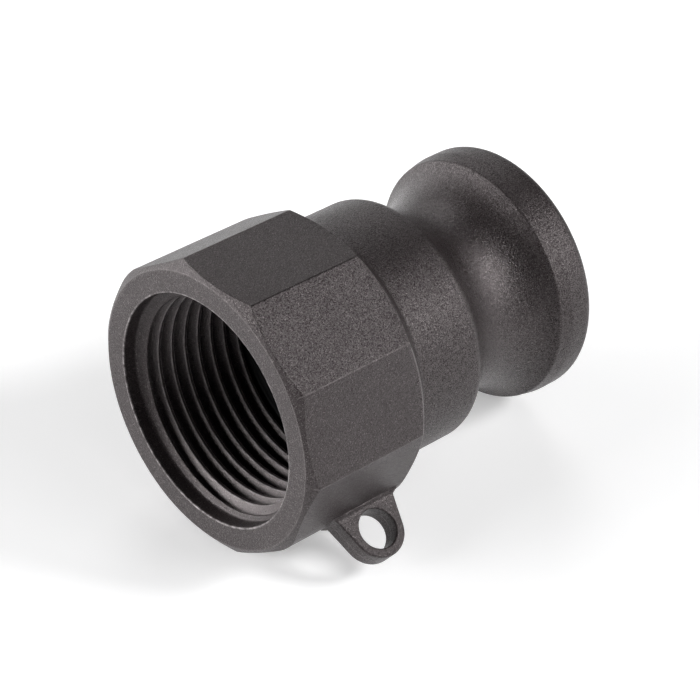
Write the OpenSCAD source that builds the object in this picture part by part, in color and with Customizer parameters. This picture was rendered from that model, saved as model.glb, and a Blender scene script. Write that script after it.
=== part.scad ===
// Cam-and-groove adapter, 1 inch: male cam-groove head on one end, parallel pipe
// thread socket in a ten-sided wrench collar on the other, with a tether lug.
// The adapter lies on one of the collar's flats. Its axis is +X, from the mouth of
// the thread socket (x = 0) to the nose of the head. The origin is on that axis,
// in the plane of the collar's front face.

/* [Thread socket] */
// Thread diameter at the roots of the grooves (G 1 major)
thread_major_d = 33.249; // [33.1:0.01:33.4]
// Thread diameter at the crests (G 1 minor)
thread_minor_d = 30.291; // [30.1:0.01:30.5]
// Thread pitch, 11 threads per inch
thread_pitch = 2.309; // [2.25:0.001:2.35]
// Number of thread grooves
thread_grooves = 7; // [5:1:7]
// Diameter of the plain lead-in at the mouth
mouth_d = 33.4; // [33.3:0.1:34.2]
// Depth of the plain lead-in
mouth_depth = 2.2; // [1.8:0.1:2.4]
// Axial length of the cone from the lead-in down to the thread crests
lead_cone = 0.7; // [0.3:0.1:0.9]
// Distance from the collar's face to the middle of the first thread groove
first_groove_x = 3.54; // [3.4:0.01:3.7]
// Diameter of the recess that holds the seal, behind the thread
recess_d = 33.8; // [33.4:0.1:34.4]
// Start of the recess behind the collar's face
recess_x = 19.0; // [18.6:0.1:19.2]
// Depth of the shoulder that the seal lies on
socket_depth = 22.0; // [21.6:0.1:22.6]

/* [Wrench collar] */
// Distance across the collar's flats
across_flats = 41.0; // [40:0.1:42]
// Outer diameter of the flat face at the mouth
face_d = 40.0; // [38:0.1:40.4]
// Axial length of the front chamfer at a corner
front_chamfer = 1.2; // [0.8:0.1:1.6]
// Distance from the face to the back end of a corner
collar_back_x = 19.6; // [19:0.1:20.2]
// Slope of the collar's back cone from the axis
back_angle = 50; // [44:1:56]
// Diameter to which the lug corner and the one opposite it are rounded
round_corner_d = 42.1; // [41.6:0.1:42.8]
// Radius of the blend between the back cone and the body
foot_blend = 1.3; // [1:0.1:3]

/* [Body and cam-groove head] */
// Diameter of the round body
body_d = 35.6; // [35:0.1:36.2]
// Diameter of the head
head_d = 36.5; // [36.2:0.1:37]
// Diameter of the head at its edge with the groove
land_d = 35.8; // [35.4:0.1:36.2]
// Length over which the head widens from that edge
land_taper = 1.8; // [1:0.1:2.2]
// Overall length
overall_length = 55.5; // [55:0.1:56.5]
// Distance from the face to the deepest point of the cam groove
groove_x = 41.6; // [41:0.1:42]
// Diameter at the bottom of the cam groove
groove_d = 27.8; // [27.4:0.1:28.6]
// Radius of the groove's arc
groove_arc = 9.4; // [9:0.1:9.8]
// Radius of the rounded shoulder between the body and the groove
shoulder_round = 2.0; // [1:0.1:3]
// Radius of the narrow rounding between the groove and the head
head_round = 0.6; // [0.3:0.1:1.2]
// Radius of the nose's outer edge
nose_round = 1.6; // [0.8:0.1:1.8]
// Diameter of the waterway
bore_d = 23.0; // [20:0.5:23.5]
// Chamfer at the waterway's nose end
bore_chamfer = 0.8; // [0.4:0.1:1.2]

/* [Tether lug] */
// Distance from the face to the hole in the lug
lug_x = 13.3; // [12:0.1:14]
// Distance from the axis to the hole in the lug
lug_hole_r = 24.6; // [24:0.1:25]
// Diameter of the hole
lug_hole_d = 5.6; // [5:0.1:6]
// Radius of the lug's rounded end
lug_end_r = 4.1; // [3.9:0.1:4.6]
// Half width of the lug at the collar
lug_half_width = 5.2; // [4.8:0.1:5.8]
// Thickness of the lug
lug_thickness = 3.3; // [2.6:0.1:3.6]

/* [Thread seal] */
// Outer diameter of the flat seal
seal_od = 32.8; // [31:0.1:33.2]
// Inner diameter of the flat seal
seal_id = 24.4; // [23:0.1:26]
// Thickness of the flat seal
seal_thickness = 2.4; // [1.5:0.1:2.6]

/* [Hidden] */
$fn = 96;

body_r = body_d / 2;
head_r = head_d / 2;
land_r = land_d / 2;
groove_r = groove_d / 2;
crest_r = thread_minor_d / 2;
root_r = thread_major_d / 2;
face_r = face_d / 2;
corner_r = across_flats / 2 / cos(18);
cone_foot_x = collar_back_x + (corner_r - body_r) / tan(back_angle);
// The collar's corners are at 18 degrees plus multiples of 36 about the axis.
lug_angle = -54;

// Turns a shape made about +Z so that its axis is +X. Its angle 0 then points down.
module along_axis() { rotate([0, 90, 0]) children(); }

// Distance of the groove's arc centre from the axis
arc_c = groove_r + groove_arc;
// One rounded edge of the outline, of radius q, at the edge of radius r beside the groove.
// It is tangent to the groove's arc and to that edge. round_dx is the distance of its
// centre along the axis from the groove's deepest point.
function round_dx(r, q) = sqrt(pow(groove_arc + q, 2) - pow(arc_c - (r - q), 2));
sx = groove_x - round_dx(body_r, shoulder_round);
hx = groove_x + round_dx(land_r, head_round);
// Touching point of a rounding circle and the groove's arc, as [radius, x]
function touch(r, q, x) =
    [arc_c + (r - q - arc_c) * groove_arc / (groove_arc + q),
     groove_x + (x - groove_x) * groove_arc / (groove_arc + q)];
t1 = touch(body_r, shoulder_round, sx);
t2 = touch(land_r, head_round, hx);

// Half of the outline of the round body, the groove and the head: x is the radius and
// y is the distance along the axis.
module round_outline() {
    difference() {
        union() {
            // round body up to where the shoulder starts to turn
            translate([0, mouth_depth + 1]) square([body_r, sx - mouth_depth - 1]);
            // core between the two roundings
            polygon([[0, sx - 0.01], [body_r, sx - 0.01], [body_r, sx], [t1[0], t1[1]],
                     [t1[0], groove_x], [t2[0], groove_x], [t2[0], t2[1]], [land_r, hx],
                     [0, hx]]);
            translate([body_r - shoulder_round, sx]) circle(r = shoulder_round);
            translate([land_r - head_round, hx]) circle(r = head_round);
            // head: it widens a little from the groove, and its nose edge is rounded
            polygon([[0, hx - 0.01], [land_r, hx - 0.01], [land_r, hx], [head_r, hx + land_taper],
                     [head_r, overall_length - nose_round], [0, overall_length - nose_round]]);
            translate([0, overall_length - nose_round - 0.5]) square([head_r - nose_round, nose_round + 0.5]);
            translate([head_r - nose_round, overall_length - nose_round]) circle(r = nose_round);
        }
        translate([arc_c, groove_x]) circle(r = groove_arc);
    }
}

// Blend between the collar's back cone and the round body
module foot_outline() {
    t = foot_blend * tan(back_angle / 2);
    difference() {
        polygon([[body_r - 0.5, cone_foot_x],
                 [body_r + t * sin(back_angle), cone_foot_x - t * cos(back_angle)],
                 [body_r, cone_foot_x + t], [body_r - 0.5, cone_foot_x + t]]);
        translate([body_r + foot_blend, cone_foot_x + t]) circle(r = foot_blend);
    }
}

// Ten-sided section, with the lug's corner and the one opposite it rounded
module collar_section() {
    difference() {
        rotate(18) circle(r = corner_r, $fn = 10);
        for (a = [lug_angle, lug_angle + 180]) rotate(a) difference() {
            translate([round_corner_d / 2 - 1, -4]) square([3, 8]);
            circle(r = round_corner_d / 2);
        }
    }
}

// Envelope of the collar: front chamfer, back cone
module collar_envelope() {
    run = (corner_r - face_r) / front_chamfer;
    over = 1;
    rotate_extrude() polygon([
        [0, 0], [face_r, 0], [corner_r + over, (corner_r + over - face_r) / run],
        [corner_r + over, collar_back_x - over / tan(back_angle)],
        [body_r, cone_foot_x], [0, cone_foot_x]]);
}

module collar() {
    intersection() {
        linear_extrude(height = cone_foot_x + 1) collar_section();
        collar_envelope();
    }
}

// Flat plate that stands on the lug corner, along the axis
module lug() {
    d = lug_hole_r;
    base_r = 19;
    // straight sides tangent to the round end
    reach = norm([lug_half_width, d - 20.8]);
    lean = acos(lug_end_r / reach) - atan2(d - 20.8, lug_half_width);
    tx = lug_end_r * cos(lean);
    ty = lug_end_r * sin(lean);
    wide = lug_half_width + (20.8 - base_r) * (lug_half_width - tx) / (d + ty - 20.8);
    rotate([0, 0, lug_angle]) translate([0, 0, lug_x]) rotate([90, 0, 0])
        linear_extrude(height = lug_thickness, center = true) {
            polygon([[base_r, -wide], [d + ty, -tx], [d + ty, tx], [base_r, wide]]);
            translate([d, 0]) circle(r = lug_end_r);
        }
}

module lug_hole() {
    rotate([0, 0, lug_angle]) translate([lug_hole_r, 0, lug_x]) rotate([90, 0, 0])
        cylinder(h = 12, r = lug_hole_d / 2, center = true);
}

// Everything that is hollow about the axis. The thread is a row of ring grooves.
module socket_outline() {
    flank = (root_r - crest_r) * tan(27.5);
    half = flank + thread_pitch / 12;
    translate([0, -1]) square([mouth_d / 2, mouth_depth + 1]);
    polygon([[0, mouth_depth - 0.5], [mouth_d / 2, mouth_depth - 0.5], [mouth_d / 2, mouth_depth],
             [crest_r, mouth_depth + lead_cone], [0, mouth_depth + lead_cone]]);
    square([crest_r, socket_depth]);
    for (i = [0 : thread_grooves - 1])
        let (x = first_groove_x + i * thread_pitch)
            polygon([[crest_r - 1, x - half - tan(27.5)], [root_r, x - thread_pitch / 12],
                     [root_r, x + thread_pitch / 12], [crest_r - 1, x + half + tan(27.5)]]);
    translate([0, recess_x]) square([recess_d / 2, socket_depth - recess_x]);
    translate([0, socket_depth - 1]) square([bore_d / 2, overall_length - socket_depth + 2]);
    polygon([[0, overall_length - bore_chamfer], [bore_d / 2, overall_length - bore_chamfer],
             [bore_d / 2 + bore_chamfer + 0.5, overall_length + 0.5], [0, overall_length + 0.5]]);
}

module adapter_body() {
    color([0.24, 0.225, 0.22]) along_axis() difference() {
        union() {
            collar();
            rotate_extrude() round_outline();
            rotate_extrude() foot_outline();
            lug();
        }
        rotate_extrude() socket_outline();
        lug_hole();
    }
}

// Flat seal at the bottom of the socket: the pipe's end closes on it
module thread_seal() {
    color([0.09, 0.09, 0.09]) along_axis()
        translate([0, 0, socket_depth - seal_thickness]) rotate_extrude()
            translate([seal_id / 2, 0]) square([(seal_od - seal_id) / 2, seal_thickness]);
}

adapter_body();
thread_seal();
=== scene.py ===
"""Looks for the cam-groove adapter: one moulded adapter with a real helical pipe thread and a
filleted tether lug, and its flat seal. Lengths are written in mm and turned into metres once."""

import math

import bpy
import numpy as np
from mathutils import Matrix, Vector


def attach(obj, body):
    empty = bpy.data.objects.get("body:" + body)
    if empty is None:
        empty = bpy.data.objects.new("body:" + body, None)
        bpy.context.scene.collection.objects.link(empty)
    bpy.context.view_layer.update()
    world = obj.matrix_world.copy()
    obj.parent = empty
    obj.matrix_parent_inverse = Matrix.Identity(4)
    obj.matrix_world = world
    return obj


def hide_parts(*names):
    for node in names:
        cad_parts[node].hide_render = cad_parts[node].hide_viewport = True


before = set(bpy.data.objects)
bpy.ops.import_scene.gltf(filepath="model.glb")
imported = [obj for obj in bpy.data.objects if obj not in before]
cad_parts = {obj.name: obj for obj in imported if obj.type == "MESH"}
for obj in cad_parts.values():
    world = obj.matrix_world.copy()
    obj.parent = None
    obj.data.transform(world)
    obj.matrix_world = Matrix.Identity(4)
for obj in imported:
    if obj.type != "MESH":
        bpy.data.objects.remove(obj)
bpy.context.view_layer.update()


MM = 0.001
scene = bpy.context.scene

# ---------------------------------------------------------------- sizes, as in the CAD part
MOUTH_R, MOUTH_DEPTH, LEAD_CONE = 16.7, 2.2, 0.7
MAJOR_R, MINOR_R, PITCH = 33.249 / 2, 30.291 / 2, 2.309
RECESS_R, RECESS_X, SOCKET_DEPTH = 16.9, 19.0, 22.0
FACE_R, APOTHEM, CHAMFER = 20.0, 20.5, 1.2
CORNER_R = APOTHEM / math.cos(math.radians(18))
BACK_X, BACK_ANGLE, ROUND_R, FOOT_BLEND = 19.6, math.radians(50), 21.05, 1.3
BODY_R, LAND_R, HEAD_R, LAND_TAPER, LENGTH = 17.8, 17.9, 18.25, 1.8, 55.5
GROOVE_X, GROOVE_R, ARC = 41.6, 13.9, 9.4
SHOULDER_ROUND, HEAD_ROUND, NOSE_ROUND = 2.0, 0.6, 1.6
BORE_R, BORE_CHAMFER = 11.5, 0.8
FOOT_X = BACK_X + (CORNER_R - BODY_R) / math.tan(BACK_ANGLE)
LUG_X, LUG_HOLE_DIST, LUG_HOLE_R, LUG_END_R = 13.3, 24.6, 2.8, 4.1
LUG_HALF_WIDTH, LUG_THICKNESS, LUG_ANGLE = 5.2, 3.3, math.radians(216)

# ---------------------------------------------------------------- columns round the axis
# The collar's ten corners are at multiples of 36 degrees; columns crowd towards them so that
# each corner's small rounding has real geometry.
half = [0.0, 0.07, 0.14, 0.21, 0.29, 0.6, 1.3, 2.6, 4.3, 6.2, 8.2, 10.4, 12.8, 15.4]
offsets = sorted([-h for h in half[1:]] + half + [18.0])
psi = np.radians(np.sort(np.concatenate([36 * k + np.array(offsets) for k in range(10)]) % 360))
N = len(psi)


def corner_offset(a):
    """Angle from the nearest collar corner."""
    d = np.degrees(a) % 36
    return np.radians(np.minimum(d, 36 - d))


def collar_radius(a, edge=0.3):
    """Section of the collar: a decagon with corners of radius edge, and two corners turned
    down to a larger round, one of them under the lug."""
    e = corner_offset(a)
    flat = APOTHEM / np.cos(math.radians(18) - e)
    c = (APOTHEM - edge) / math.cos(math.radians(18))
    inside = np.clip(edge**2 - (c * np.sin(e)) ** 2, 0, None)
    rounded = c * np.cos(e) + np.sqrt(inside)
    limit = math.atan2(edge * math.sin(math.radians(18)), c + edge * math.cos(math.radians(18)))
    r = np.where(e < limit, rounded, flat)
    k = np.round(np.degrees(a) / 36).astype(int) % 10
    turned = (k == 6) | (k == 1)
    w = 0.10
    soft = -w * np.log(np.exp(-(r - 21.0) / w) + np.exp(-(ROUND_R - 21.0) / w))
    return np.where(turned, 21.0 + soft, r)


# ---------------------------------------------------------------- outline helpers
def point(x, r):
    """A key point of the outline in every column, as (N, 2) arrays of x and radius."""
    return np.stack([np.broadcast_to(x, (N,)).astype(float), np.broadcast_to(r, (N,)).astype(float)], 1)


def rounded_corner(before, at, after, radius, steps):
    """steps + 1 points on the fillet of that radius at a corner of the outline."""
    d1, d2 = before - at, after - at
    l1, l2 = np.linalg.norm(d1, axis=1), np.linalg.norm(d2, axis=1)
    d1, d2 = d1 / l1[:, None], d2 / l2[:, None]
    theta = np.arccos(np.clip((d1 * d2).sum(1), -1, 1))
    reach = np.minimum(radius / np.tan(theta / 2), 0.45 * np.minimum(l1, l2))
    q = reach * np.tan(theta / 2)
    mid = d1 + d2
    mid /= np.linalg.norm(mid, axis=1)[:, None]
    centre = at + mid * (q / np.sin(theta / 2))[:, None]
    v1, v2 = at + d1 * reach[:, None] - centre, at + d2 * reach[:, None] - centre
    turn = math.pi - theta
    out = []
    for i in range(steps + 1):
        s = i / steps
        w1 = (np.sin((1 - s) * turn) / np.sin(turn))[:, None]
        w2 = (np.sin(s * turn) / np.sin(turn))[:, None]
        out.append(centre + v1 * w1 + v2 * w2)
    return out


def between(a, b, n):
    """n points strictly between two rings."""
    return [a + (b - a) * (i / (n + 1)) for i in range(1, n + 1)]


def arc(cx, cr, radius, a0, a1, n):
    """n + 1 rings on an arc; angles are from the +x direction towards +r, in radians."""
    return [point(cx + radius * math.cos(t), cr + radius * math.sin(t)) for t in np.linspace(a0, a1, n + 1)]


def add(rings, *groups):
    """Append rings, with no doubles."""
    for g in groups:
        for p in g if isinstance(g, list) else [g]:
            if not rings or np.abs(rings[-1] - p).max() > 1e-4:
                rings.append(p)


def thread_radius(x, a):
    """Radius of the female thread's surface: a right-hand helix of Whitworth form with a
    narrow flat crest. Crest centre at x = 4.76 mm for the angle -41 degrees."""
    turns = (x - 4.76 - PITCH * (np.degrees(a) + 41) / 360) / PITCH
    d = np.abs(turns - np.round(turns)) * PITCH
    slope = 1 / math.tan(math.radians(27.5))
    flat = 0.18
    crest_q = 0.10
    top = MINOR_R
    # crest: a flat, then a small round tangent to the flank
    flank0 = top + crest_q - crest_q / math.sin(math.radians(27.5)) + 0 * d
    line = flank0 + (d - flat) * slope
    touch = crest_q * math.cos(math.radians(27.5))
    round_ = top + crest_q - np.sqrt(np.clip(crest_q**2 - np.clip(d - flat, 0, touch) ** 2, 0, None))
    r = np.where(d < flat, top, np.where(d < flat + touch, round_, line))
    # root: a round tangent to the flank, or the flat floor of the root
    cap = MAJOR_R
    w = 0.09
    r = cap - w * np.log1p(np.exp(np.clip((cap - r) / w, -60, 60)))
    return np.maximum(r, top)


# ---------------------------------------------------------------- the outline, ring by ring
RD = collar_radius(psi)
run = (CORNER_R - FACE_R) / CHAMFER
front_x = (RD - FACE_R) / run
back_x = BACK_X + (CORNER_R - RD) / math.tan(BACK_ANGLE)

mouth = point(0, MOUTH_R)
face_edge = point(0, FACE_R)
front_edge = point(front_x, RD)
back_edge = point(back_x, RD)
foot = point(FOOT_X, BODY_R)
arc_c = GROOVE_R + ARC
sx = GROOVE_X - math.sqrt((ARC + SHOULDER_ROUND) ** 2 - (arc_c - (BODY_R - SHOULDER_ROUND)) ** 2)
hx = GROOVE_X + math.sqrt((ARC + HEAD_ROUND) ** 2 - (arc_c - (LAND_R - HEAD_ROUND)) ** 2)

rings = []
lip = rounded_corner(point(MOUTH_DEPTH - 0.02, MOUTH_R), mouth, face_edge, 0.16, 4)
add(rings, lip)
rim_edge = rounded_corner(mouth, face_edge, front_edge, 0.14, 3)
add(rings, between(lip[-1], rim_edge[0], 4), rim_edge)
flat_front = rounded_corner(face_edge, front_edge, back_edge, 0.16, 4)
add(rings, between(rim_edge[-1], flat_front[0], 2), flat_front)
flat_back = rounded_corner(front_edge, back_edge, foot, 0.22, 4)
add(rings, between(flat_front[-1], flat_back[0], 5), flat_back)
blend = rounded_corner(back_edge, foot, point(sx, BODY_R), FOOT_BLEND, 8)
add(rings, between(flat_back[-1], blend[0], 2), blend)
shoulder_start = point(sx, BODY_R)
add(rings, between(blend[-1], shoulder_start, 3))
turn1 = math.atan2(BODY_R - SHOULDER_ROUND - arc_c, sx - GROOVE_X)
add(rings, arc(sx, BODY_R - SHOULDER_ROUND, SHOULDER_ROUND, math.pi / 2, math.pi + turn1, 10))
add(rings, arc(GROOVE_X, arc_c, ARC, turn1, -math.pi / 2, 20))
turn2 = math.atan2(LAND_R - HEAD_ROUND - arc_c, hx - GROOVE_X)
add(rings, arc(GROOVE_X, arc_c, ARC, -math.pi / 2, turn2, 20))
add(rings, arc(hx, LAND_R - HEAD_ROUND, HEAD_ROUND, math.pi + turn2, math.pi / 2, 8))
taper = rounded_corner(point(hx, LAND_R), point(hx + LAND_TAPER, HEAD_R), point(LENGTH - NOSE_ROUND, HEAD_R), 4.0, 3)
add(rings, taper)
land_end = point(LENGTH - NOSE_ROUND, HEAD_R)
add(rings, between(rings[-1], land_end, 1))
add(rings, arc(LENGTH - NOSE_ROUND, HEAD_R - NOSE_ROUND, NOSE_ROUND, math.pi / 2, 0, 8))
nose_in = point(LENGTH, BORE_R + BORE_CHAMFER)
bore_out = point(LENGTH - BORE_CHAMFER, BORE_R)
bore_in = point(SOCKET_DEPTH, BORE_R)
seat = point(SOCKET_DEPTH, RECESS_R)
recess = point(RECESS_X, RECESS_R)
g1 = rounded_corner(point(LENGTH, HEAD_R - NOSE_ROUND), nose_in, bore_out, 0.25, 3)
g2 = rounded_corner(nose_in, bore_out, bore_in, 0.3, 3)
g3 = rounded_corner(bore_out, bore_in, seat, 0.35, 4)
g4 = rounded_corner(bore_in, seat, recess, 0.35, 4)
add(rings, between(rings[-1], g1[0], 3), g1, g2, between(g2[-1], g3[0], 4), g3, between(g3[-1], g4[0], 3), g4)
add(rings, between(g4[-1], recess, 2), recess)
# the thread, from the recess out to the mouth, on a fine even grid; a steep cone ends its first
# turn at the plain lead-in
def socket_radius(x):
    r = thread_radius(x, psi)
    cone = MOUTH_R - (MOUTH_R - MINOR_R) * (x - MOUTH_DEPTH) / LEAD_CONE
    w = 0.05
    return r + w * np.log1p(np.exp(np.clip((cone - r) / w, -60, 60)))


end_r = socket_radius(RECESS_X - 0.02)
add(rings, between(recess, point(RECESS_X - 0.02, end_r), 1))
steps = 166
for i in range(steps + 1):
    x = RECESS_X - 0.02 + (MOUTH_DEPTH + 0.08 - (RECESS_X - 0.02)) * i / steps
    add(rings, point(x, np.minimum(socket_radius(x), MOUTH_R - 0.01)))
add(rings, point(MOUTH_DEPTH - 0.02, MOUTH_R))
add(rings, between(rings[-1], lip[0], 3))


def loft(name, rings, close=True):
    """Closed mesh from rings of N columns, joined round the axis and ring to ring."""
    K = len(rings)
    P = np.array(rings)
    verts = np.stack([P[:, :, 0], P[:, :, 1] * np.cos(psi), P[:, :, 1] * np.sin(psi)], 2).reshape(-1, 3) * MM
    i, j = np.meshgrid(np.arange(K if close else K - 1), np.arange(N), indexing="ij")
    i2, j2 = (i + 1) % K, (j + 1) % N
    quads = np.stack([i * N + j, i * N + j2, i2 * N + j2, i2 * N + j], 2).reshape(-1, 4)
    mesh = bpy.data.meshes.new(name)
    mesh.vertices.add(len(verts))
    mesh.vertices.foreach_set("co", verts.astype(np.float32).ravel())
    mesh.loops.add(quads.size)
    mesh.loops.foreach_set("vertex_index", quads.astype(np.int32).ravel())
    mesh.polygons.add(len(quads))
    mesh.polygons.foreach_set("loop_start", (np.arange(len(quads)) * 4).astype(np.int32))
    mesh.polygons.foreach_set("use_smooth", np.ones(len(quads), bool))
    mesh.update(calc_edges=True)
    mesh.validate()
    o = bpy.data.objects.new(name, mesh)
    scene.collection.objects.link(o)
    return o


def signed_volume(mesh):
    mesh.calc_loop_triangles()
    n = len(mesh.loop_triangles)
    tri = np.empty(n * 3, np.int32)
    mesh.loop_triangles.foreach_get("vertices", tri)
    co = np.empty(len(mesh.vertices) * 3)
    mesh.vertices.foreach_get("co", co)
    a, b, c = (co.reshape(-1, 3)[tri.reshape(-1, 3)[:, k]] for k in range(3))
    return float((np.cross(a, b) * c).sum() / 6)


def outward(o):
    if signed_volume(o.data) < 0:
        o.data.flip_normals()
    return o


adapter = outward(loft("adapter", rings))


# ---------------------------------------------------------------- tether lug
def lug_outline(t):
    """Distance from the hole's centre to the lug's outline in direction t, where t = 0 points
    away from the axis and t = pi/2 along +x. The lug runs down into the collar."""
    d, w = LUG_HOLE_DIST, LUG_HALF_WIDTH
    reach = math.hypot(w, d - 20.8)
    lean = math.acos(LUG_END_R / reach) - math.atan2(d - 20.8, w)
    tx, ty = LUG_END_R * math.cos(lean), LUG_END_R * math.sin(lean)
    base = 19.3 - d
    # straight side through (tx, ty), perpendicular to the direction (cos lean, sin lean)
    c, s = abs(math.sin(t)), math.cos(t)
    best = 1e9
    dot = c * math.cos(lean) + s * math.sin(lean)
    if dot > 1e-6:
        best = LUG_END_R / dot
    if s > 0 and c * ty < s * tx + 1e-12 and math.atan2(c, s) < math.atan2(tx, ty):
        best = LUG_END_R
    if s < 0:
        best = min(best, base / s)
    return best


M = 144
T = np.arange(M) * 2 * math.pi / M
out_d = np.array([lug_outline(t) for t in T])
EDGE = 0.28


def lug_ring(dist, side):
    """Ring of the lug's surface: dist from the hole's centre per direction, side along its
    thickness. Local axes: h away from the axis, x along it, t across the plate."""
    return np.stack([LUG_HOLE_DIST + dist * np.cos(T), LUG_X + dist * np.sin(T), np.broadcast_to(side, (M,))], 1)


H = LUG_THICKNESS / 2
loop = []
for i in range(5):  # edge of the outline, front side
    a = i / 4 * math.pi / 2
    loop.append(lug_ring(out_d - EDGE + EDGE * math.cos(a), H - EDGE + EDGE * math.sin(a)))
hole_e = 0.22
for i in range(1, 14):
    s = i / 14
    inner, outer = LUG_HOLE_R + hole_e, out_d - EDGE
    loop.append(lug_ring(outer + (inner - outer) * s, H))
for i in range(5):
    a = i / 4 * math.pi / 2
    loop.append(lug_ring(np.full(M, LUG_HOLE_R + hole_e - hole_e * math.sin(a)), H - hole_e + hole_e * math.cos(a)))
for i in range(1, 6):
    loop.append(lug_ring(np.full(M, LUG_HOLE_R), (H - hole_e) * (1 - i / 3)))
front_half = loop
back_half = [np.concatenate([r[:, :2], -r[:, 2:]], 1) for r in front_half[:-5]][::-1]
sides = [lug_ring(out_d, -(H - EDGE) + 2 * (H - EDGE) * i / 7) for i in range(1, 7)]
loop = front_half + back_half + sides
L = np.array(loop)
# drop doubled rings
keep = [0]
for k in range(1, len(L)):
    if np.abs(L[k] - L[keep[-1]]).max() > 1e-4:
        keep.append(k)
L = L[keep]
if np.abs(L[0] - L[-1]).max() < 1e-4:
    L = L[:-1]
# flare at the root, so that the lug grows out of the collar with a small fillet
Q = 0.55
roof = np.minimum(ROUND_R, CORNER_R - np.abs(L[:, :, 2]) * math.tan(math.radians(18)))
up = L[:, :, 0] - roof
flare = np.where(up < Q, Q - np.sqrt(np.clip(Q**2 - (Q - np.clip(up, 0, Q)) ** 2, 0, None)), 0)
near = np.abs(L[:, :, 2]) / H
L[:, :, 2] += np.sign(L[:, :, 2]) * flare * near
xo = L[:, :, 1] - LUG_X
wide = LUG_HALF_WIDTH
L[:, :, 1] += np.sign(xo) * flare * np.clip(np.abs(xo) / wide, 0, 1) ** 3
ca, sa = math.cos(LUG_ANGLE), math.sin(LUG_ANGLE)
V = np.stack([L[:, :, 1], L[:, :, 0] * ca - L[:, :, 2] * sa, L[:, :, 0] * sa + L[:, :, 2] * ca], 2).reshape(-1, 3) * MM
K = len(L)
i, j = np.meshgrid(np.arange(K), np.arange(M), indexing="ij")
i2, j2 = (i + 1) % K, (j + 1) % M
quads = np.stack([i * M + j, i * M + j2, i2 * M + j2, i2 * M + j], 2).reshape(-1, 4)
lug_mesh = bpy.data.meshes.new("lug")
lug_mesh.from_pydata(V.tolist(), [], quads.tolist())
lug_mesh.polygons.foreach_set("use_smooth", np.ones(len(quads), bool))
lug_mesh.update()
lug = bpy.data.objects.new("lug", lug_mesh)
scene.collection.objects.link(lug)
outward(lug)

# one moulding: the lug and the adapter become a single closed skin
union = adapter.modifiers.new("union", "BOOLEAN")
union.operation = "UNION"
union.object = lug
union.solver = "MANIFOLD"
bpy.context.view_layer.update()
made = bpy.data.meshes.new_from_object(adapter.evaluated_get(bpy.context.evaluated_depsgraph_get()))
adapter.modifiers.clear()
before = len(adapter.data.vertices)
print("UNION", before, len(made.vertices), len(made.polygons), "rings", len(rings), "columns", N)
if len(made.polygons) > before:
    adapter.data = made
    adapter.data.name = "adapter"
bpy.data.objects.remove(lug)
for p in adapter.data.polygons:
    p.use_smooth = True

# ---------------------------------------------------------------- flat seal
S0, S1, RI, RO = SOCKET_DEPTH - 2.4, SOCKET_DEPTH, 12.2, 16.4
corners = [point(S1, RO), point(S0, RO), point(S0, RI), point(S1, RI)]
seal_rings = []
for k in range(4):
    c0, c1, c2 = corners[k - 1], corners[k], corners[(k + 1) % 4]
    fil = rounded_corner(c0, c1, c2, 0.35, 4)
    if seal_rings:
        add(seal_rings, between(seal_rings[-1], fil[0], 14 if k == 2 else 4))
    add(seal_rings, fil)
add(seal_rings, between(seal_rings[-1], seal_rings[0], 8))
SR = np.array(seal_rings)
# three raised sealing beads on the face that the pipe's end closes on
face = SR[:, :, 0] < S0 + 0.02
bead = 0.16 * np.clip(np.cos((SR[:, :, 1] - (RI + RO) / 2) * 2 * math.pi / 1.15), 0, 1)
SR[:, :, 0] += np.where(face, 0.16 - bead, 0)
seal = outward(loft("seal", [SR[k] for k in range(len(SR))]))


# ---------------------------------------------------------------- materials
def new_material(name):
    m = bpy.data.materials.new(name)
    m.use_nodes = True
    nt = m.node_tree
    nt.nodes.clear()
    out = nt.nodes.new("ShaderNodeOutputMaterial")
    bsdf = nt.nodes.new("ShaderNodeBsdfPrincipled")
    nt.links.new(bsdf.outputs[0], out.inputs[0])
    return m, nt, bsdf


def node(nt, kind, **values):
    n = nt.nodes.new(kind)
    for k, v in values.items():
        if hasattr(n, k):
            setattr(n, k, v)
        else:
            n.inputs[k.replace("_", " ")].default_value = v
    return n


def ramp(nt, source, stops):
    n = nt.nodes.new("ShaderNodeValToRGB")
    els = n.color_ramp.elements
    while len(els) > len(stops):
        els.remove(els[-1])
    while len(els) < len(stops):
        els.new(0.5)
    for e, (p, c) in zip(els, stops):
        e.position = p
        e.color = (c, c, c, 1) if isinstance(c, float) else (*c, 1)
    nt.links.new(source, n.inputs[0])
    return n.outputs[0]


def mapped(nt, value, lo, hi):
    n = nt.nodes.new("ShaderNodeMapRange")
    n.inputs["To Min"].default_value = lo
    n.inputs["To Max"].default_value = hi
    nt.links.new(value, n.inputs[0])
    return n.outputs[0]


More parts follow.
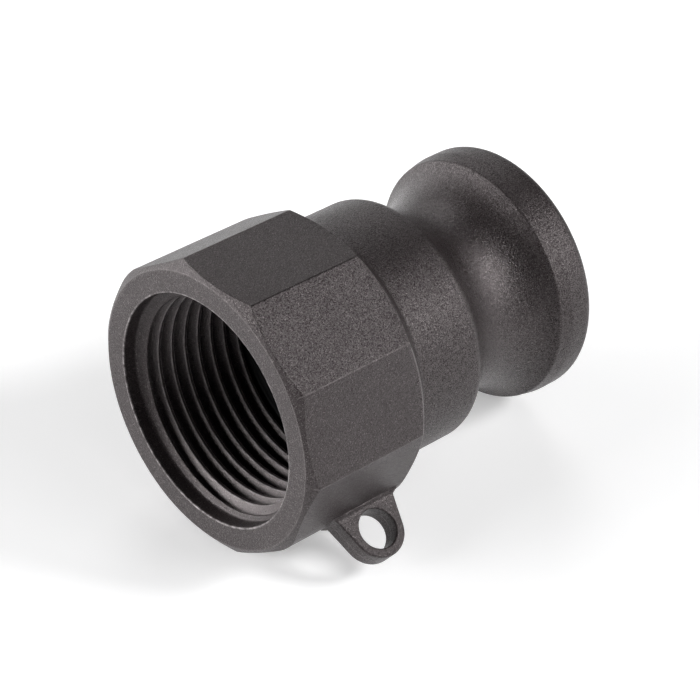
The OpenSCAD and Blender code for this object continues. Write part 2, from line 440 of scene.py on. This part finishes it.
def moulded_plastic():
    m, nt, b = new_material("filled_plastic")
    co = nt.nodes.new("ShaderNodeTexCoord").outputs["Object"]

    def noise(scale, detail=2.0, rough=0.5, stretch=None):
        src = co
        if stretch:
            mp = nt.nodes.new("ShaderNodeMapping")
            mp.inputs["Scale"].default_value = stretch
            nt.links.new(co, mp.inputs[0])
            src = mp.outputs[0]
        n = nt.nodes.new("ShaderNodeTexNoise")
        n.inputs["Scale"].default_value = scale
        n.inputs["Detail"].default_value = detail
        n.inputs["Roughness"].default_value = rough
        nt.links.new(src, n.inputs["Vector"])
        return n.outputs["Fac"]

    def math_(op, a, c, clamp=False):
        n = nt.nodes.new("ShaderNodeMath")
        n.operation = op
        n.use_clamp = clamp
        for k, v in enumerate((a, c)):
            if isinstance(v, (int, float)):
                n.inputs[k].default_value = v
            else:
                nt.links.new(v, n.inputs[k])
        return n.outputs[0]

    def mix(a, c, fac):
        n = nt.nodes.new("ShaderNodeMix")
        n.data_type = "RGBA"
        for k, v in ((6, a), (7, c)):
            if isinstance(v, tuple):
                n.inputs[k].default_value = (*v, 1)
            else:
                nt.links.new(v, n.inputs[k])
        if isinstance(fac, (int, float)):
            n.inputs[0].default_value = fac
        else:
            nt.links.new(fac, n.inputs[0])
        return n.outputs[2]

    fine = noise(9500, 2, 0.6)
    grain = noise(4700, 2, 0.65)
    mottle = noise(1500, 3, 0.6)
    cloud = noise(160, 3, 0.55)
    flow = noise(420, 2, 0.5, (0.25, 1.0, 1.0))

    def fibres(scale, lo, hi):
        """Small pale filler grains: one in each cell, with its own brightness and tint."""
        v = nt.nodes.new("ShaderNodeTexVoronoi")
        v.inputs["Scale"].default_value = scale
        nt.links.new(co, v.inputs["Vector"])
        pick = nt.nodes.new("ShaderNodeSeparateColor")
        nt.links.new(v.outputs["Color"], pick.inputs[0])
        size = ramp(nt, v.outputs["Distance"], [(0.0, 1.0), (0.30, 0.8), (0.55, 0.0)])
        rare = ramp(nt, pick.outputs[0], [(lo, 0.0), (hi, 1.0)])
        return math_("MULTIPLY", size, rare), pick.outputs[1]

    dense, dense_tint = fibres(8200, 0.35, 0.95)
    bright, bright_tint = fibres(6800, 0.84, 0.97)

    # Thin lines along edges: painted highlight on the thread's crests and the mouth's lip, and paler lines along the
    # front face's outer edge and the collar's corners.
    split = nt.nodes.new("ShaderNodeSeparateXYZ")
    nt.links.new(co, split.inputs[0])
    px, py, pz = split.outputs
    radius = math_("SQRT", math_("ADD", math_("MULTIPLY", py, py), math_("MULTIPLY", pz, pz)), 0.0)
    angle = math_("ARCTAN2", pz, py)

    def band(value, centre, width):
        """1 at the centre, falling to 0 at that distance from it."""
        away = math_("ABSOLUTE", math_("SUBTRACT", value, centre), 0.0)
        return math_("SUBTRACT", 1.0, math_("DIVIDE", away, width), True)

    def below(value, limit, soft):
        return math_("DIVIDE", math_("SUBTRACT", limit, value), soft, True)

    # painted highlight: thin glints along both edges of each thread crest
    turns = math_("SUBTRACT", math_("DIVIDE", math_("SUBTRACT", px, 0.00476), PITCH * MM),
                  math_("DIVIDE", math_("ADD", angle, math.radians(41)), 2 * math.pi))
    phase = math_("MULTIPLY", math_("ABSOLUTE", math_("SUBTRACT", turns, math_("ROUND", turns, 0.0)), 0.0), PITCH * MM)
    crest_glint = math_("MULTIPLY", band(phase, 0.00021, 0.00009), below(radius, 0.01545, 0.0001))
    inside_thread = math_("MULTIPLY", below(px, 0.0191, 0.0001), math_("SUBTRACT", 1.0, below(px, 0.0031, 0.0001), True))
    crest_glint = math_("MULTIPLY", crest_glint, inside_thread)
    # painted highlight: a thin pale line round the mouth's inner lip
    lip_highlight = math_("MULTIPLY", below(px, 0.00030, 0.00012), band(radius, 0.01680, 0.00020))
    sector = math_("DIVIDE", angle, math.radians(36))
    off = math_("MULTIPLY", math_("ABSOLUTE", math_("SUBTRACT", sector, math_("ROUND", sector, 0.0)), 0.0), math.radians(36) * 0.0215)
    corner_edge = math_("MULTIPLY", below(off, 0.00014, 0.00010), math_("SUBTRACT", 1.0, below(radius, 0.0209, 0.0001), True))
    # the corner at 108 degrees gets no pale line
    corner_edge = math_("MULTIPLY", corner_edge, math_("GREATER_THAN", math_("ABSOLUTE", math_("SUBTRACT", angle, math.radians(108)), 0.0), math.radians(17)))
    # the collar's back edge, where its cone meets the side flats (a painted highlight line), and the front face's
    # outer edge (a paler line)
    turned = math_("SUBTRACT", math_("ADD", px, math_("DIVIDE", radius, math.tan(BACK_ANGLE))),
                   (19.6 + 20.5 / math.cos(math.radians(18)) / math.tan(BACK_ANGLE)) * MM)
    from_flat = math_("SUBTRACT", sector, math_("ADD", math_("FLOOR", sector, 0.0), 0.5))
    flat_gap = math_("SUBTRACT", math_("MULTIPLY", radius, math_("COSINE", math_("MULTIPLY", from_flat, math.radians(36)), 0.0)), 20.5 * MM)
    back_edge = math_("MULTIPLY", band(turned, 0.0, 0.00026), band(flat_gap, 0.0, 0.00022))
    back_edge = math_("MULTIPLY", back_edge, math_("GREATER_THAN", math_("ABSOLUTE", angle, 0.0), math.radians(146)))
    face_edge = math_("MULTIPLY", below(px, 0.00022, 0.00010), band(radius, 0.01996, 0.00016))
    patchy = ramp(nt, noise(700, 3, 0.6), [(0.36, 0.25), (0.60, 1.0)])
    # painted highlight on the thread's crests, with paler lines on the front face's outer edge and the collar's
    # corners, broken up by noise
    crest_glint_and_edge_lines = math_("ADD", math_("MULTIPLY", crest_glint, 1.0), math_("ADD", math_("MULTIPLY", face_edge, 0.50), math_("MULTIPLY", corner_edge, 0.45)), True)
    crest_glint_and_edge_lines = math_("MULTIPLY", crest_glint_and_edge_lines, patchy)
    # painted highlight: a thin pale line on the lip, the back edge and the thread's crests
    broken = ramp(nt, noise(900, 4, 0.7), [(0.44, 0.12), (0.62, 1.0)])
    painted_edge_highlight = math_("ADD", math_("MULTIPLY", lip_highlight, broken), math_("MULTIPLY", back_edge, 0.42), True)
    painted_edge_highlight = math_("ADD", painted_edge_highlight, math_("MULTIPLY", math_("MULTIPLY", crest_glint, patchy), 0.75), True)
    # painted shade: a thin dark line along the corner at 108 degrees
    at_108 = math_("LESS_THAN", math_("ABSOLUTE", math_("SUBTRACT", angle, math.radians(108)), 0.0), math.radians(10))
    painted_shade_corner = math_("MULTIPLY", math_("MULTIPLY", below(off, 0.00017, 0.00012), at_108),
                        math_("MULTIPLY", math_("GREATER_THAN", radius, 0.0210), math_("GREATER_THAN", px, 0.0012)))

    # filler and resin: every grain, about 0.15 mm across, has its own gloss and shade
    cells = nt.nodes.new("ShaderNodeTexVoronoi")
    cells.inputs["Scale"].default_value = 8600
    nt.links.new(co, cells.inputs["Vector"])
    cell = nt.nodes.new("ShaderNodeSeparateColor")
    nt.links.new(cells.outputs["Color"], cell.inputs[0])

    base = mix((0.0100, 0.0079, 0.0082), (0.0285, 0.0230, 0.0235), mapped(nt, fine, -0.25, 1.25))
    base = mix(base, (0.036, 0.0290, 0.0298), math_("MULTIPLY", cell.outputs[1], 0.20))
    base = mix(base, (0.032, 0.0262, 0.0262), math_("MULTIPLY", mapped(nt, cloud, -0.6, 1.2), 0.30, True))
    base = mix(base, (0.0125, 0.0100, 0.0103), math_("MULTIPLY", mapped(nt, flow, -0.8, 1.2), 0.30, True))
    base = mix(base, (0.0135, 0.0108, 0.0112), math_("MULTIPLY", mapped(nt, mottle, -0.8, 1.3), 0.35, True))
    tint = ramp(nt, dense_tint, [(0.35, (0.066, 0.058, 0.053)), (0.65, (0.074, 0.055, 0.061))])
    base = mix(base, tint, math_("MULTIPLY", dense, 0.30))
    tint2 = ramp(nt, bright_tint, [(0.4, (0.20, 0.185, 0.175)), (0.6, (0.21, 0.175, 0.18))])
    base = mix(base, tint2, math_("MULTIPLY", bright, 0.28))
    # painted highlight on the thread's crests; paler lines on the front face's outer edge and the collar's corners
    base = mix(base, (0.190, 0.172, 0.172), math_("MULTIPLY", crest_glint_and_edge_lines, 0.80))
    # painted highlight lines on the lip, the collar's back edge and the thread's crests
    base = mix(base, (0.360, 0.335, 0.335), painted_edge_highlight)
    # painted shade: a thin dark line along the corner at 108 degrees
    base = mix(base, (0.006, 0.005, 0.005), math_("MULTIPLY", painted_shade_corner, 0.60))
    nt.links.new(base, b.inputs["Base Color"])
    rough = math_("ADD", mapped(nt, cell.outputs[2], 0.30, 0.44), math_("MULTIPLY", mapped(nt, cloud, -0.06, 0.08), 1.0))
    in_groove = math_("MULTIPLY", band(px, 0.0408, 0.0085), below(radius, 0.0180, 0.0010))
    in_groove = ramp(nt, in_groove, [(0.0, 0.0), (0.35, 1.0)])
    rough = math_("SUBTRACT", rough, math_("MULTIPLY", in_groove, 0.09), True)
    rough = math_("SUBTRACT", rough, math_("MULTIPLY", dense, 0.08), True)
    nt.links.new(rough, b.inputs["Roughness"])
    b.inputs["IOR"].default_value = 1.5
    level = mapped(nt, cell.outputs[0], 0.04, 0.94)
    # the collar is smoother than the rest, all but the flat between 108 and 144 degrees
    coarse_flat = math_("MULTIPLY", math_("LESS_THAN", math_("ABSOLUTE", math_("SUBTRACT", angle, math.radians(126)), 0.0), math.radians(18)),
                        math_("MULTIPLY", math_("GREATER_THAN", radius, 0.0203), math_("GREATER_THAN", px, 0.0004)))
    smooth = math_("MULTIPLY", below(px, 0.0198, 0.0004), math_("SUBTRACT", 1.0, coarse_flat, True))
    level = mix(level, (0.49, 0.49, 0.49), math_("MULTIPLY", smooth, 0.45))
    level = math_("MULTIPLY", level, math_("ADD", 1.0, math_("MULTIPLY", coarse_flat, 0.09)))
    level = math_("ADD", level, math_("MULTIPLY", bright, 1.10))
    level = math_("ADD", level, math_("MULTIPLY", in_groove, 0.14))
    # the thread's flanks are glossy from the core they were moulded on
    in_socket = math_("MULTIPLY", below(radius, 0.0167, 0.0002), inside_thread)
    level = math_("ADD", level, math_("MULTIPLY", in_socket, 0.55))
    # less gloss along the painted shade line at the 108 degree corner
    level = math_("MULTIPLY", level, math_("SUBTRACT", 1.0, math_("MULTIPLY", painted_shade_corner, 0.60)))
    nt.links.new(level, b.inputs["Specular IOR Level"])
    b.inputs["Specular Tint"].default_value = (1.0, 0.905, 0.912, 1)

    height = math_("ADD", math_("MULTIPLY", grain, 0.0000800), math_("MULTIPLY", fine, 0.0000300))
    height = math_("ADD", height, math_("MULTIPLY", dense, 0.0000120))
    height = math_("ADD", height, math_("MULTIPLY", mottle, 0.0000200))
    height = math_("ADD", height, math_("MULTIPLY", cloud, 0.0000300))
    bump = nt.nodes.new("ShaderNodeBump")
    bump.inputs["Strength"].default_value = 1.0
    bump.inputs["Distance"].default_value = 1.0
    nt.links.new(height, bump.inputs["Height"])
    nt.links.new(bump.outputs[0], b.inputs["Normal"])
    return m


def seal_rubber():
    m, nt, b = new_material("seal_rubber")
    co = nt.nodes.new("ShaderNodeTexCoord").outputs["Object"]
    n1 = nt.nodes.new("ShaderNodeTexNoise")
    n1.inputs["Scale"].default_value = 3000
    n1.inputs["Detail"].default_value = 3
    nt.links.new(co, n1.inputs["Vector"])
    n2 = nt.nodes.new("ShaderNodeTexNoise")
    n2.inputs["Scale"].default_value = 240
    n2.inputs["Detail"].default_value = 3
    nt.links.new(co, n2.inputs["Vector"])
    c = nt.nodes.new("ShaderNodeValToRGB")
    c.color_ramp.elements[0].position, c.color_ramp.elements[0].color = 0.3, (0.0035, 0.0035, 0.0040, 1)
    c.color_ramp.elements[1].position, c.color_ramp.elements[1].color = 0.75, (0.0090, 0.0088, 0.0092, 1)
    nt.links.new(n2.outputs["Fac"], c.inputs[0])
    nt.links.new(c.outputs[0], b.inputs["Base Color"])
    nt.links.new(mapped(nt, n2.outputs["Fac"], 0.55, 0.8), b.inputs["Roughness"])
    bump = nt.nodes.new("ShaderNodeBump")
    bump.inputs["Strength"].default_value = 0.5
    bump.inputs["Distance"].default_value = 0.00001
    nt.links.new(n1.outputs["Fac"], bump.inputs["Height"])
    nt.links.new(bump.outputs[0], b.inputs["Normal"])
    b.inputs["Specular IOR Level"].default_value = 0.2
    return m


plastic, rubber = moulded_plastic(), seal_rubber()
for o, mat, slot, cad in ((adapter, plastic, "filled_plastic", "adapter_body"), (seal, rubber, "seal_rubber", "thread_seal")):
    o.data.materials.clear()
    o.data.materials.append(mat)
    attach(o, "root")
    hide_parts(cad)

# ---------------------------------------------------------------- floor
# The adapter lies on the back edge of the collar's bottom flat and on the rim of its head.
tip = math.atan2(20.5 - HEAD_R, LENGTH - NOSE_ROUND - 20.8)
low = Vector((20.8 * MM, 0, -20.5 * MM))
normal = Vector((-math.sin(tip), 0, math.cos(tip)))
low = low - normal * 0.00003
bm_size = 5.0
across = Vector((0, 1, 0))
along = across.cross(normal)
quad = [low + along * (a * bm_size) + across * (c * bm_size) for a, c in ((-1, -1), (1, -1), (1, 1), (-1, 1))]
fm = bpy.data.meshes.new("floor")
fm.from_pydata([tuple(v) for v in quad], [], [(0, 1, 2, 3)])
if fm.polygons[0].normal.dot(normal) < 0:
    fm.flip_normals()
floor = bpy.data.objects.new("floor", fm)
scene.collection.objects.link(floor)
fmat, fnt, fb = new_material("floor_paper")
fb.inputs["Base Color"].default_value = (0.93, 0.93, 0.935, 1)
fb.inputs["Roughness"].default_value = 0.55
fb.inputs["Specular IOR Level"].default_value = 0.35
# a lit table: the paper glows a little, which thins the shadows
fb.inputs["Emission Color"].default_value = (1, 1, 1, 1)
fb.inputs["Emission Strength"].default_value = 0.30
floor.data.materials.append(fmat)

# ---------------------------------------------------------------- camera, fitted to the view
# Position and axes come from the outlines, in mouth radii of 16.64 mm, with the object's own
# axes turned into the row's.
UNIT = 16.64
to_row = np.array([[1, 0, 0], [0, -0.857167, -0.515038], [0, 0.515038, -0.857167]])
rv = np.array([-1.370169, -0.224821, -0.782382])
tv = np.array([-1.182748, 0.448722, 22.730149])
ang = np.linalg.norm(rv)
kx, ky, kz = rv / ang
Kx = np.array([[0, -kz, ky], [kz, 0, -kx], [-ky, kx, 0]])
R = np.eye(3) + math.sin(ang) * Kx + (1 - math.cos(ang)) * Kx @ Kx
pos = to_row @ (-R.T @ tv) * UNIT * MM
right, up_, back = to_row @ R[0], -(to_row @ R[1]), -(to_row @ R[2])
cam_data = bpy.data.cameras.new("camera")
cam_data.sensor_fit = "HORIZONTAL"
cam_data.sensor_width = 36.0
cam_data.lens = 2871.72 / 700 * 36
cam_data.shift_x = -3.206 / 700
cam_data.shift_y = 4.973 / 700
cam_data.clip_start, cam_data.clip_end = 0.01, 20
cam = bpy.data.objects.new("camera", cam_data)
scene.collection.objects.link(cam)
m4 = Matrix.Identity(4)
for k in range(3):
    m4[k][0], m4[k][1], m4[k][2], m4[k][3] = right[k], up_[k], back[k], pos[k]
cam.matrix_world = m4
scene.camera = cam

# ---------------------------------------------------------------- light
scene.view_settings.view_transform = "Standard"
scene.view_settings.look = "None"
world = bpy.data.worlds.new("studio")
scene.world = world
world.use_nodes = True
bg = world.node_tree.nodes["Background"]
bg.inputs[0].default_value = (1, 1, 1, 1)
bg.inputs[1].default_value = 0.02


def soft_light(name, direction, distance, size, watts, color=(1, 1, 1)):
    """Soft square light aimed at the middle of the adapter, from that direction."""
    d = Vector(direction).normalized()
    aim = Vector((0.026, 0, 0))
    data = bpy.data.lights.new(name, "AREA")
    data.shape = "SQUARE"
    data.size = size
    data.energy = watts
    data.color = color
    o = bpy.data.objects.new(name, data)
    o.location = aim + d * distance
    o.rotation_euler = (-d).to_track_quat("-Z", "Y").to_euler()
    scene.collection.objects.link(o)
    return o


# Soft boxes all round: low and strong behind on the left, weaker in front and on the right.
for k, (toward, size, watts) in enumerate((
    ((-0.85, 0.49, 0.17), 0.42, 6.6),
    ((-0.49, 0.85, 0.17), 0.42, 3.3),
    ((0.00, 0.98, 0.17), 0.42, 1.15),
    ((-0.93, 0.16, 0.34), 0.22, 1.65),
    ((0.49, 0.67, 0.56), 0.42, 1.55),
    ((0.49, -0.59, 0.64), 0.22, 4.3),
    ((0.60, -0.71, 0.37), 0.22, 1.4),
    ((0.20, -0.74, 0.64), 0.22, 0.95),
    ((0.49, -0.85, 0.17), 0.42, 0.45),
    ((-0.11, -0.49, 0.87), 0.42, 0.45),
    ((0.32, -0.87, 0.37), 0.22, 0.3),
)):
    soft_light("box_%d" % k, toward, 1.8, 2 * size, 4 * watts)
